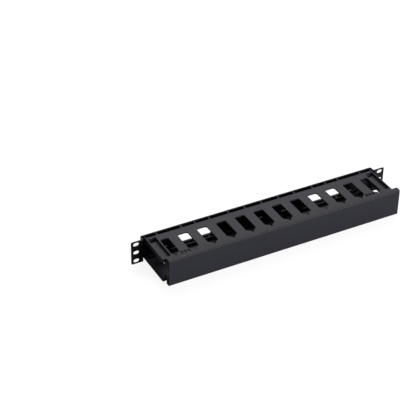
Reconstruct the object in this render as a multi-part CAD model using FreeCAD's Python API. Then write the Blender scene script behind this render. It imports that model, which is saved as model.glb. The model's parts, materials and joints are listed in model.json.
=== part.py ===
import FreeCAD, Part
import math
import os

# 1U horizontal cable manager for a 19-inch rack, in millimetres.
# X runs along the rack opening, Y to the back of the rack, Z up.
# The origin is midway between the ears, on their front faces, at half the height.

# Rack standard: width over the ears, height of one unit's panel, and the mounting slots.
PANEL_WIDTH = 482.6
UNIT_HEIGHT = 43.66
MOUNT_EDGE = 8.75
MOUNT_PITCH_Z = 15.875
MOUNT_SLOT_LENGTH = 10.0
MOUNT_SLOT_WIDTH = 6.5

# Steel back panel: one sheet, bent into a shallow tray between two ears.
SHEET = 1.5
EAR_WIDTH = 20.5
EAR_CORNER_R = 2.5
TRAY_DEPTH = 11.0
BEND_INSIDE_R = 1.0

# Cable pass-throughs in the tray floor, each set in from the tray's side.
PASS_SIDE_MARGIN = 60.8
PASS_LENGTH = 69.0
PASS_HEIGHT = 26.6
PASS_CORNER_R = 3.0

# Finger combs: two mouldings with the same section, one above and one below the cables.
COMB_SIDE_GAP = 3.4
PLATE = 2.5
PLATE_BACK_Y = 1.5
PLATE_DEPTH = 63.0

# Slots between the fingers. The outermost one is cut short by the rib beside the sunk end.
SLOT_PITCH = 34.8
SLOT_WIDTH = 18.5
SLOT_ROOT_INSET = 14.0
SLOT_ROOT_R = 4.0
SLOT_FRONT_MARGIN = 3.5
SLOT_TAPER = 5.5
SLIT_WIDTH = 3.0
SLOT_LEAST_HALF = 4.0

# Finger tips: a groove behind a rounded nose, and a lip that turns down to keep cables in.
# The row of tips stops short of the comb's ends and is closed there by a wall.
GROOVE_WIDTH = 5.5
GROOVE_DEPTH = 4.33
GROOVE_WALL = 2.5
TIP_FLOOR = 2.5
NOSE_DEPTH = 4.6
NOSE_DROP = 1.63
NOSE_R = 3.5
LIP_THICKNESS = 2.2
LIP_DROP = 13.33
TIP_INSET = 3.9
TIP_WALL = 2.0

# Cable-tie notches through the tip of the second finger from each end.
NOTCH_PITCH = 6.4
NOTCH_WIDTH = 3.6
NOTCH_LENGTH = 7.0

# Sunk end of each comb: rim outside it, rib inside it, and a hole at its back.
END_RIM = 1.9
END_RIB = 2.5
POCKET_WIDTH = 14.5
POCKET_BACK_INSET = 4.0
POCKET_FRONT_INSET = 4.5
POCKET_DEPTH = 5.6
POCKET_FLOOR = 2.0
POCKET_HOLE = 4.5

# Skirt, webs and rail that stiffen the comb's rear edge and carry it on the panel.
SKIRT_THICKNESS = 2.0
INNER_WEB_X = (0.0, 32.1, 62.8, 98.2, 124.8, 149.9)
OUTER_WEB_INSET = 21.9
WEB_THICKNESS = 2.0
END_WEB_THICKNESS = 1.2
WEB_DEPTH_Z = 8.2
RAIL_THICKNESS = 2.0
RAIL_HEIGHT = 2.2

# Snap hooks on the rail, through windows in the panel.
INNER_HOOK_X = (0.0, 48.0)
OUTER_HOOK_INSET = 37.9
HOOK_WIDTH = 10.0
HOOK_ARM = 1.8
BARB_HEIGHT = 1.2
BARB_LENGTH = 2.4
BARB_BLUNT = 0.9
HOOK_FIT = 0.1
WINDOW_SIDE_FIT = 0.2

# Front cover: a channel with hooked lips that reach over the noses into the grooves.
COVER_OVERRUN = 2.5
COVER_CENTRE_X = 6.15
COVER_WALL = 2.0
COVER_TOP_GAP = 0.97
COVER_NOSE_GAP = 0.4
COVER_HOOK_TOP_GAP = 0.6
COVER_HOOK_BACK_GAP = 0.5
COVER_OUTER_R = 2.3
COVER_INNER_R = 0.5

CUT_MARGIN = 1.0

# Places that follow from the sizes above.
TRAY_HALF_X = PANEL_WIDTH / 2 - EAR_WIDTH
TRAY_FLOOR_Y = TRAY_DEPTH - SHEET
COMB_HALF_X = TRAY_HALF_X - SHEET - COMB_SIDE_GAP
TOP_Z = UNIT_HEIGHT / 2
PLATE_FRONT_Y = PLATE_BACK_Y - PLATE_DEPTH
GROOVE_FRONT_Y = PLATE_FRONT_Y - GROOVE_WIDTH
NOSE_FRONT_Y = GROOVE_FRONT_Y - NOSE_DEPTH
NOSE_TOP_Z = TOP_Z - NOSE_DROP
TIP_BACK_Y = PLATE_FRONT_Y + GROOVE_WALL
TIP_UNDER_Z = TOP_Z - GROOVE_DEPTH - TIP_FLOOR
LIP_BOTTOM_Z = TOP_Z - LIP_DROP
RAIL_BOTTOM_Z = TOP_Z - WEB_DEPTH_Z
POCKET_INNER_X = COMB_HALF_X - END_RIM - POCKET_WIDTH
SLOT_LIMIT_X = POCKET_INNER_X - END_RIB


def vec(x, y, z):
    return FreeCAD.Vector(x, y, z)


def box(x0, x1, y0, y1, z0, z1):
    return Part.makeBox(x1 - x0, y1 - y0, z1 - z0, vec(x0, y0, z0))


def prism(points, direction):
    wire = Part.makePolygon(points + [points[0]])
    return Part.Face(wire).extrude(direction)


def edges_along(shape, axis, places):
    """Straight edges parallel to an axis whose middle is at one of the places in the other two."""
    others = [i for i in range(3) if i != axis]
    found = []
    for edge in shape.Edges:
        ends = [v.Point for v in edge.Vertexes]
        if len(ends) != 2:
            continue
        run = ends[1] - ends[0]
        if abs(abs(run[axis]) - run.Length) > 1e-6 or run.Length < 1e-6:
            continue
        for place in places:
            gap = max(abs(ends[0][others[i]] - place[i]) for i in range(2))
            if gap < 1e-4:
                found.append(edge)
    return found


def rounded(shape, axis, places, radius):
    return shape.makeFillet(radius, edges_along(shape, axis, places))


def mirrored_x(values):
    return sorted({sign * value for value in values for sign in (-1.0, 1.0)})


def rack_slot(x, z, length, width, y0, y1):
    """Slot with round ends, long in X, through a sheet between y0 and y1."""
    radius = width / 2
    reach = (length - width) / 2
    slot = box(x - reach, x + reach, y0, y1, z - radius, z + radius)
    for end_x in (x - reach, x + reach):
        slot = slot.fuse(Part.makeCylinder(radius, y1 - y0, vec(end_x, y0, z), vec(0, 1, 0)))
    return slot.removeSplitter()


def hook_places():
    return mirrored_x(INNER_HOOK_X + (COMB_HALF_X - OUTER_HOOK_INSET,))


def hook_windows(y0, y1):
    """Cutters for the panel: each window lets its hook bend down by the barb's height on the way in."""
    half = HOOK_WIDTH / 2 + WINDOW_SIDE_FIT
    z0 = RAIL_BOTTOM_Z - BARB_HEIGHT - HOOK_FIT
    z1 = RAIL_BOTTOM_Z + HOOK_ARM + HOOK_FIT
    windows = []
    for x in hook_places():
        windows.append(box(x - half, x + half, y0, y1, z0, z1))
        windows.append(box(x - half, x + half, y0, y1, -z1, -z0))
    return windows


def snap_hook(x, rail_y):
    """Arm that runs back from the rail, with a barb that catches behind the panel."""
    z0 = RAIL_BOTTOM_Z
    z1 = z0 + HOOK_ARM
    catch_y = TRAY_DEPTH + HOOK_FIT
    tip_y = catch_y + BARB_LENGTH
    side = [
        (rail_y, z0), (tip_y, z0), (tip_y, z0 + BARB_BLUNT),
        (catch_y, z1 + BARB_HEIGHT), (catch_y, z1), (rail_y, z1),
    ]
    x0 = x - HOOK_WIDTH / 2
    return prism([vec(x0, y, z) for y, z in side], vec(HOOK_WIDTH, 0, 0))


def back_panel():
    ear_x = PANEL_WIDTH / 2
    wall_x = TRAY_HALF_X
    inner_x = wall_x - SHEET
    right = [
        (inner_x, TRAY_FLOOR_Y), (inner_x, 0.0), (ear_x, 0.0),
        (ear_x, SHEET), (wall_x, SHEET), (wall_x, TRAY_DEPTH),
    ]
    outline = right + [(-x, y) for x, y in reversed(right)]
    panel = prism([vec(x, y, -TOP_Z) for x, y in outline], vec(0, 0, UNIT_HEIGHT))

    inside = [(s * x, y) for s in (-1, 1) for x, y in ((inner_x, TRAY_FLOOR_Y), (wall_x, SHEET))]
    outside = [(s * x, y) for s in (-1, 1) for x, y in ((inner_x, 0.0), (wall_x, TRAY_DEPTH))]
    panel = rounded(panel, 2, inside, BEND_INSIDE_R)
    panel = rounded(panel, 2, outside, BEND_INSIDE_R + SHEET)
    corners = [(s * ear_x, t * TOP_Z) for s in (-1, 1) for t in (-1, 1)]
    panel = rounded(panel, 1, corners, EAR_CORNER_R)

    y0 = TRAY_FLOOR_Y - CUT_MARGIN
    y1 = TRAY_DEPTH + CUT_MARGIN
    cuts = hook_windows(y0, y1)
    for x in mirrored_x([ear_x - MOUNT_EDGE]):
        for z in (-MOUNT_PITCH_Z, 0.0, MOUNT_PITCH_Z):
            cuts.append(rack_slot(x, z, MOUNT_SLOT_LENGTH, MOUNT_SLOT_WIDTH, -CUT_MARGIN, SHEET + CUT_MARGIN))
    for x in mirrored_x([TRAY_HALF_X - PASS_SIDE_MARGIN - PASS_LENGTH / 2]):
        x0 = x - PASS_LENGTH / 2
        x1 = x + PASS_LENGTH / 2
        z1 = PASS_HEIGHT / 2
        hole = box(x0, x1, y0, y1, -z1, z1)
        cuts.append(rounded(hole, 1, [(a, b) for a in (x0, x1) for b in (-z1, z1)], PASS_CORNER_R))
    return panel.cut(cuts)


def slot_places():
    """Slot centres: as many pairs as leave the outermost slot wide enough beside its rib."""
    pairs = math.floor((SLOT_LIMIT_X - SLOT_LEAST_HALF) / SLOT_PITCH + 0.5)
    return mirrored_x([(i + 0.5) * SLOT_PITCH for i in range(pairs)])


def finger_slot(x):
    """Cutter for one slot: round corners at the root, a taper, then a narrow slit to the front."""
    x0 = max(x - SLOT_WIDTH / 2, -SLOT_LIMIT_X)
    x1 = min(x + SLOT_WIDTH / 2, SLOT_LIMIT_X)
    slit0 = x - SLIT_WIDTH / 2
    slit1 = x + SLIT_WIDTH / 2
    root = PLATE_BACK_Y - SLOT_ROOT_INSET
    taper_end = PLATE_FRONT_Y + SLOT_FRONT_MARGIN
    taper = taper_end + SLOT_TAPER
    front = NOSE_FRONT_Y - CUT_MARGIN
    outline = [
        (x0, root), (x1, root), (x1, taper), (slit1, taper_end),
        (slit1, front), (slit0, front), (slit0, taper_end), (x0, taper),
    ]
    cutter = prism([vec(a, b, 0) for a, b in outline], vec(0, 0, TOP_Z + CUT_MARGIN))
    return rounded(cutter, 2, [(x0, root), (x1, root)], SLOT_ROOT_R)


def tie_notches(finger_x):
    """Cutters for three notches that open into the groove."""
    half = NOTCH_WIDTH / 2
    back = PLATE_FRONT_Y + NOTCH_LENGTH
    z0 = TIP_UNDER_Z - CUT_MARGIN
    places = [finger_x + step * NOTCH_PITCH for step in (-1, 0, 1)]
    return [box(x - half, x + half, PLATE_FRONT_Y, back, z0, TOP_Z + CUT_MARGIN) for x in places]


def comb_profile():
    """The comb's length with plate, groove, nose and lip, tips already stopped short of the ends."""
    under = TOP_Z - PLATE
    groove_z = TOP_Z - GROOVE_DEPTH
    lip_back = NOSE_FRONT_Y + LIP_THICKNESS
    section = [
        (PLATE_BACK_Y, TOP_Z), (PLATE_FRONT_Y, TOP_Z), (PLATE_FRONT_Y, groove_z),
        (GROOVE_FRONT_Y, groove_z), (GROOVE_FRONT_Y, NOSE_TOP_Z), (NOSE_FRONT_Y, NOSE_TOP_Z),
        (NOSE_FRONT_Y, LIP_BOTTOM_Z), (lip_back, LIP_BOTTOM_Z), (lip_back, TIP_UNDER_Z),
        (TIP_BACK_Y, TIP_UNDER_Z), (TIP_BACK_Y, under), (PLATE_BACK_Y, under),
    ]
    comb = prism([vec(-COMB_HALF_X, y, z) for y, z in section], vec(2 * COMB_HALF_X, 0, 0))
    comb = rounded(comb, 0, [(NOSE_FRONT_Y, NOSE_TOP_Z)], NOSE_R)
    tip_end = COMB_HALF_X - TIP_INSET
    front = NOSE_FRONT_Y - CUT_MARGIN
    ends = []
    for side in (-1, 1):
        beyond = sorted((side * tip_end, side * (COMB_HALF_X + CUT_MARGIN)))
        ends.append(box(*beyond, front, PLATE_FRONT_Y, 0.0, TOP_Z + CUT_MARGIN))
    return comb.cut(ends)


def comb_ends():
    """Solids to add and cutters for the sunk ends and for the walls that close the row of tips."""
    floor_top = TOP_Z - POCKET_DEPTH
    floor_under = floor_top - POCKET_FLOOR
    well_back = PLATE_BACK_Y - POCKET_BACK_INSET
    well_front = PLATE_FRONT_Y + POCKET_FRONT_INSET
    tip_end = COMB_HALF_X - TIP_INSET
    added = []
    cuts = []
    for side in (-1, 1):
        end = sorted((side * SLOT_LIMIT_X, side * COMB_HALF_X))
        well = sorted((side * POCKET_INNER_X, side * (POCKET_INNER_X + POCKET_WIDTH)))
        wall = sorted((side * (tip_end - TIP_WALL), side * tip_end))
        added.append(box(*end, TIP_BACK_Y, well_back + PLATE, floor_under, TOP_Z - PLATE))
        added.append(box(*wall, NOSE_FRONT_Y, TIP_BACK_Y, LIP_BOTTOM_Z, TIP_UNDER_Z))
        cuts.append(box(*well, well_front, well_back, floor_top, TOP_Z + CUT_MARGIN))
        cuts.append(box(*well, well_back - POCKET_HOLE, well_back, floor_under - CUT_MARGIN, TOP_Z))
    return added, cuts


def comb_mounting():
    """Skirt under the plate's rear edge, rail against the panel, webs between them, snap hooks."""
    skirt_front = PLATE_BACK_Y - SKIRT_THICKNESS
    rail_front = TRAY_FLOOR_Y - RAIL_THICKNESS
    rail_top = RAIL_BOTTOM_Z + RAIL_HEIGHT
    added = [
        box(-COMB_HALF_X, COMB_HALF_X, skirt_front, PLATE_BACK_Y, RAIL_BOTTOM_Z, TOP_Z),
        box(-COMB_HALF_X, COMB_HALF_X, rail_front, TRAY_FLOOR_Y, RAIL_BOTTOM_Z, rail_top),
    ]
    webs = [(x, WEB_THICKNESS / 2) for x in INNER_WEB_X + (COMB_HALF_X - OUTER_WEB_INSET,)]
    webs.append((COMB_HALF_X - END_WEB_THICKNESS / 2, END_WEB_THICKNESS / 2))
    for web_x, half in webs:
        for x in mirrored_x([web_x]):
            added.append(box(x - half, x + half, skirt_front, TRAY_FLOOR_Y, RAIL_BOTTOM_Z, TOP_Z))
    added += [snap_hook(x, rail_front) for x in hook_places()]
    return added


def finger_comb():
    """The upper comb. The lower one is the same moulding turned half round."""
    added, cuts = comb_ends()
    comb = comb_profile().fuse(added + comb_mounting())
    slots = slot_places()
    cuts += [finger_slot(x) for x in slots]
    finger_x = max(slots) - SLOT_PITCH / 2
    for x in (-finger_x, finger_x):
        cuts += tie_notches(x)
    return comb.cut(cuts).removeSplitter()


def front_cover():
    inner = TOP_Z + COVER_TOP_GAP
    top = inner + COVER_WALL
    tip = NOSE_TOP_Z + COVER_HOOK_TOP_GAP
    hook = GROOVE_FRONT_Y + COVER_HOOK_BACK_GAP
    back = hook + COVER_WALL
    wall = NOSE_FRONT_Y - COVER_NOSE_GAP
    front = wall - COVER_WALL
    upper = [(front, top), (back, top), (back, tip), (hook, tip), (hook, inner), (wall, inner)]
    section = upper + [(y, -z) for y, z in reversed(upper)]
    length = 2 * COMB_HALF_X + COVER_OVERRUN
    x0 = COVER_CENTRE_X - length / 2
    cover = prism([vec(x0, y, z) for y, z in section], vec(length, 0, 0))
    cover = rounded(cover, 0, [(front, top), (front, -top)], COVER_OUTER_R)
    return rounded(cover, 0, [(wall, inner), (wall, -inner)], COVER_INNER_R)


upper_comb = finger_comb()
lower_comb = upper_comb.copy()
lower_comb.rotate(vec(0, 0, 0), vec(0, 1, 0), 180)

nodes = {
    "back_panel": back_panel(),
    "top_finger_comb": upper_comb,
    "bottom_finger_comb": lower_comb,
    "front_cover": front_cover(),
}

os.makedirs("parts", exist_ok=True)
for name, shape in nodes.items():
    shape.exportStep("parts/" + name + ".step")
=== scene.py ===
import json
import math

import bpy
from mathutils import Matrix, Vector


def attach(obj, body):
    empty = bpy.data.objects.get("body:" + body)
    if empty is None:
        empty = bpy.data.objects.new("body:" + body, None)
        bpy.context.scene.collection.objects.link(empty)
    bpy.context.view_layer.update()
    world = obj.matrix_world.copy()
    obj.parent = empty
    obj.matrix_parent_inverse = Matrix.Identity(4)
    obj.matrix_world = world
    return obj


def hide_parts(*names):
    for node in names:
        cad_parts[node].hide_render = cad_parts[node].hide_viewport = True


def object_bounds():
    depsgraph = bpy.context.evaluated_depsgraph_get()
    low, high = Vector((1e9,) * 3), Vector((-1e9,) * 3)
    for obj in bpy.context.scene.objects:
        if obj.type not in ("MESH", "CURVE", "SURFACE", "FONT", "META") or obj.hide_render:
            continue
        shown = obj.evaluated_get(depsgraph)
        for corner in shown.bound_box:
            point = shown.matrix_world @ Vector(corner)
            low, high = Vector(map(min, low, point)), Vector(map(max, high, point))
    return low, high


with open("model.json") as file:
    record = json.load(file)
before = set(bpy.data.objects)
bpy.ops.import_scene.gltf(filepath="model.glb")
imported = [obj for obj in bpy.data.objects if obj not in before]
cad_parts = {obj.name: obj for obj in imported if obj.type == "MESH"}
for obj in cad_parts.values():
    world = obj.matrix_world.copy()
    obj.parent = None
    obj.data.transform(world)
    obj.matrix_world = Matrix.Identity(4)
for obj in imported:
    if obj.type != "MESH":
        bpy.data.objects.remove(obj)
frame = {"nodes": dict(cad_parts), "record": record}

CAD_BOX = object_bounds()
MM = 0.001

# The view: from the front left and above, as one looks down at a rack shelf.
VIEW_AZIMUTH = math.radians(28.24)
VIEW_ELEVATION = math.radians(34.81)
VIEW_ROLL = math.radians(0.70)
VIEW_DEPTH = 2.2758
VIEW_RIGHT = 0.1037
VIEW_UP = -0.0240
LENS = 123.0
SENSOR = 36.0
NEAREST = 0.05
FURTHEST = 50

# Edges of each piece: radius left by the mould, the saw or the press.
WELD = 1e-6
FLAT_ANGLE = math.radians(0.5)
SHARP_ANGLE = math.radians(35)
SMOOTH_ANGLE = math.radians(32)
EDGE_SEGMENTS = 2
LARGE_FACES_FIRST = 100
COMB_EDGE = 0.30 * MM
COVER_EDGE = 0.25 * MM
PANEL_EDGE = 0.22 * MM

# Colours are linear.
COMB_BLACK = (0.0292, 0.0306, 0.0445)
COVER_BLACK = (0.0285, 0.0295, 0.0410)
STEEL_BLACK = (0.0095, 0.0095, 0.0110)
FLOOR_PALE = (0.38, 0.38, 0.38)
WHITE = (1, 1, 1)

# Finishes. Fineness is in cells a metre; tones are shares of the colour, dark and pale;
# a relief is its height in metres and its strength.
GLOSS = 0.5
EVEN = (1, 1, 1)
TONE_STOPS = (0.3, 0.7)

MOULD_GRAIN = 2600
MOULD_FLOW = 14
MOULD_FLOW_STRETCH = (1, 2.5, 1)
MOULD_TONES = (0.94, 1.06)
MOULD_ROUGHNESS = (0.40, 0.64)
MOULD_RELIEF = (0.10 * MM, 0.9)

DRAWN_LINES = 900
DRAWN_STRETCH = (0.01, 1, 1)
DRAWN_ROUGHNESS = (0.47, 0.66)
DRAWN_RELIEF = (0.05 * MM, 0.8)
WAVE = 9
WAVE_STRETCH = (1, 2, 2)
WAVE_TONES = (0.95, 1.05)
WAVE_RELIEF = (0.20 * MM, 0.3)

COAT_PEEL = 1400
COAT_CLOUD = 20
COAT_TONES = (0.90, 1.15)
COAT_ROUGHNESS = (0.34, 0.46)
COAT_RELIEF = (0.14 * MM, 0.9)

# Light: a broad box high behind the part, and a low far one at the front, to the right.
FLOOR_HALF = 6.0
FLOOR_GLOW = 0.87
FLOOR_ROUGHNESS = 0.9
FLOOR_GLOSS = 0.1
SKY_STRENGTH = 0.12
BACKGROUND_STRENGTH = 1.0
BACK_BOX_PLACE = (0.8, 1.2, 1.8)
BACK_BOX_SIZE = (2.4, 1.4)
BACK_BOX_WATTS = 25
FRONT_BOX_PLACE = (1.5, -3.7, 0.9)
FRONT_BOX_SIZE = (2.2, 1.0)
FRONT_BOX_WATTS = 96


def select_only(thing):
    bpy.ops.object.select_all(action="DESELECT")
    thing.select_set(True)
    bpy.context.view_layer.objects.active = thing


def body_of_node(node):
    bodies = frame["record"]["behaviour"]["bodies"]
    return next(body for body, members in bodies.items() if node in members)


def merged_copy(node):
    """A copy of a CAD node with its loose triangles joined into plain faces."""
    piece = bpy.data.objects.new(node + "_finished", frame["nodes"][node].data.copy())
    bpy.context.scene.collection.objects.link(piece)
    select_only(piece)
    bpy.ops.object.mode_set(mode="EDIT")
    bpy.ops.mesh.select_all(action="SELECT")
    bpy.ops.mesh.remove_doubles(threshold=WELD)
    bpy.ops.mesh.dissolve_limited(angle_limit=FLAT_ANGLE)
    bpy.ops.object.mode_set(mode="OBJECT")
    return piece


def break_edges(piece, radius):
    """Round every sharp edge a little, and keep the large faces level between them."""
    bevel = piece.modifiers.new("broken_edges", "BEVEL")
    bevel.limit_method = "ANGLE"
    bevel.angle_limit = SHARP_ANGLE
    bevel.width = radius
    bevel.segments = EDGE_SEGMENTS
    bevel.use_clamp_overlap = False
    bpy.ops.object.modifier_apply(modifier=bevel.name)
    bpy.ops.object.shade_smooth_by_angle(angle=SMOOTH_ANGLE)
    level = piece.modifiers.new("level_faces", "WEIGHTED_NORMAL")
    level.mode = "FACE_AREA"
    level.weight = LARGE_FACES_FIRST
    level.keep_sharp = True
    bpy.ops.object.modifier_apply(modifier=level.name)


def finished(node, radius, material):
    """The piece that stands for a CAD node: its edges broken, in its own material."""
    piece = merged_copy(node)
    break_edges(piece, radius)
    piece.data.materials.clear()
    piece.data.materials.append(material)
    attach(piece, body_of_node(node))
    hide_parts(node)


class Finish:
    """One material, and short ways to add the shader nodes of a black surface."""

    def __init__(self, name):
        self.material = bpy.data.materials.new(name)
        self.material.use_nodes = True
        self.tree = self.material.node_tree
        self.shader = self.tree.nodes["Principled BSDF"]
        self.shader.inputs["Specular IOR Level"].default_value = GLOSS
        self.place = self.tree.nodes.new("ShaderNodeTexCoord").outputs["Object"]

    def pattern(self, fineness, detail, rough, stretch=EVEN):
        mapping = self.tree.nodes.new("ShaderNodeMapping")
        mapping.inputs["Scale"].default_value = stretch
        self.tree.links.new(self.place, mapping.inputs["Vector"])
        noise = self.tree.nodes.new("ShaderNodeTexNoise")
        noise.inputs["Scale"].default_value = fineness
        noise.inputs["Detail"].default_value = detail
        noise.inputs["Roughness"].default_value = rough
        self.tree.links.new(mapping.outputs["Vector"], noise.inputs["Vector"])
        return noise.outputs["Fac"]

    def tone(self, pattern, colour, shares):
        ramp = self.tree.nodes.new("ShaderNodeValToRGB")
        for stop, position, share in zip(ramp.color_ramp.elements, TONE_STOPS, shares):
            stop.position = position
            stop.color = (*(channel * share for channel in colour), 1)
        self.tree.links.new(pattern, ramp.inputs["Fac"])
        self.tree.links.new(ramp.outputs["Color"], self.shader.inputs["Base Color"])

    def roughness(self, pattern, limits):
        spread = self.tree.nodes.new("ShaderNodeMapRange")
        spread.inputs["To Min"].default_value, spread.inputs["To Max"].default_value = limits
        self.tree.links.new(pattern, spread.inputs["Value"])
        self.tree.links.new(spread.outputs["Result"], self.shader.inputs["Roughness"])

    def relief(self, *layers):
        """Bumps laid on one another, the first one lowest."""
        below = None
        for pattern, (height, strength) in layers:
            bump = self.tree.nodes.new("ShaderNodeBump")
            bump.inputs["Distance"].default_value = height
            bump.inputs["Strength"].default_value = strength
            self.tree.links.new(pattern, bump.inputs["Height"])
            if below is not None:
                self.tree.links.new(below, bump.inputs["Normal"])
            below = bump.outputs["Normal"]
        self.tree.links.new(below, self.shader.inputs["Normal"])


def moulded_black():
    """Matt moulded plastic: fine spark-eroded grain and faint flow tone."""
    finish = Finish("moulded_black_plastic")
    grain = finish.pattern(MOULD_GRAIN, 2.0, 0.6)
    flow = finish.pattern(MOULD_FLOW, 3.0, 0.5, MOULD_FLOW_STRETCH)
    finish.tone(flow, COMB_BLACK, MOULD_TONES)
    finish.roughness(grain, MOULD_ROUGHNESS)
    finish.relief((grain, MOULD_RELIEF))
    return finish.material


def extruded_black():
    """Satin extruded plastic: drawn lines along the length over a faint waviness."""
    finish = Finish("extruded_black_plastic")
    lines = finish.pattern(DRAWN_LINES, 2.0, 0.6, DRAWN_STRETCH)
    wave = finish.pattern(WAVE, 2.0, 0.5, WAVE_STRETCH)
    finish.tone(wave, COVER_BLACK, WAVE_TONES)
    finish.roughness(lines, DRAWN_ROUGHNESS)
    finish.relief((wave, WAVE_RELIEF), (lines, DRAWN_RELIEF))
    return finish.material


def powder_coat():
    """Black powder coat on steel: fine orange peel and a faint cloudiness."""
    finish = Finish("black_powder_coat")
    peel = finish.pattern(COAT_PEEL, 2.0, 0.5)
    cloud = finish.pattern(COAT_CLOUD, 2.0, 0.5)
    finish.tone(cloud, STEEL_BLACK, COAT_TONES)
    finish.roughness(peel, COAT_ROUGHNESS)
    finish.relief((peel, COAT_RELIEF))
    return finish.material


def camera():
    turn = Matrix.Rotation(-VIEW_AZIMUTH, 3, "Z")
    tilt = Matrix.Rotation(math.pi / 2 - VIEW_ELEVATION, 3, "X")
    roll = Matrix.Rotation(VIEW_ROLL, 3, "Z")
    axes = turn @ tilt @ roll
    data = bpy.data.cameras.new("view")
    data.lens = LENS
    data.sensor_width = SENSOR
    data.clip_start = NEAREST
    data.clip_end = FURTHEST
    view = bpy.data.objects.new("view", data)
    view.matrix_world = axes.to_4x4()
    view.location = -(axes @ Vector((VIEW_RIGHT, VIEW_UP, -VIEW_DEPTH)))
    bpy.context.scene.collection.objects.link(view)
    bpy.context.scene.camera = view


def floor(height):
    """A pale floor that looks white from the camera and keeps the part's shadow."""
    bpy.ops.object.select_all(action="DESELECT")
    bpy.ops.mesh.primitive_plane_add(size=2 * FLOOR_HALF, location=(0, 0, height))
    plane = bpy.context.object
    plane.name = "floor"
    material = bpy.data.materials.new("pale_floor")
    material.use_nodes = True
    tree = material.node_tree
    shader = tree.nodes["Principled BSDF"]
    shader.inputs["Base Color"].default_value = (*FLOOR_PALE, 1)
    shader.inputs["Roughness"].default_value = FLOOR_ROUGHNESS
    shader.inputs["Specular IOR Level"].default_value = FLOOR_GLOSS
    shader.inputs["Emission Color"].default_value = (*WHITE, 1)
    rays = tree.nodes.new("ShaderNodeLightPath")
    glow = tree.nodes.new("ShaderNodeMath")
    glow.operation = "MULTIPLY"
    glow.inputs[1].default_value = FLOOR_GLOW
    tree.links.new(rays.outputs["Is Camera Ray"], glow.inputs[0])
    tree.links.new(glow.outputs["Value"], shader.inputs["Emission Strength"])
    plane.data.materials.append(material)


def sky():
    """A weak even sky for the part, and plain white behind it for the camera."""
    world = bpy.data.worlds.new("studio")
    bpy.context.scene.world = world
    world.use_nodes = True
    tree = world.node_tree
    background = tree.nodes["Background"]
    background.inputs["Color"].default_value = (*WHITE, 1)
    rays = tree.nodes.new("ShaderNodeLightPath")
    level = tree.nodes.new("ShaderNodeMapRange")
    level.inputs["To Min"].default_value = SKY_STRENGTH
    level.inputs["To Max"].default_value = BACKGROUND_STRENGTH
    tree.links.new(rays.outputs["Is Camera Ray"], level.inputs["Value"])
    tree.links.new(level.outputs["Result"], background.inputs["Strength"])


def softbox(name, place, size, watts):
    """A flat lamp aimed at the part."""
    data = bpy.data.lights.new(name, "AREA")
    data.shape = "RECTANGLE"
    data.size, data.size_y = size
    data.energy = watts
    lamp = bpy.data.objects.new(name, data)
    lamp.location = place
    lamp.rotation_euler = (-Vector(place)).to_track_quat("-Z", "Y").to_euler()
    bpy.context.scene.collection.objects.link(lamp)


bpy.context.scene.view_settings.view_transform = "Standard"
camera()
sky()
floor(CAD_BOX[0].z)
softbox("back_box", BACK_BOX_PLACE, BACK_BOX_SIZE, BACK_BOX_WATTS)
softbox("front_box", FRONT_BOX_PLACE, FRONT_BOX_SIZE, FRONT_BOX_WATTS)

comb_plastic = moulded_black()
finished("top_finger_comb", COMB_EDGE, comb_plastic)
finished("bottom_finger_comb", COMB_EDGE, comb_plastic)
finished("front_cover", COVER_EDGE, extruded_black())
finished("back_panel", PANEL_EDGE, powder_coat())
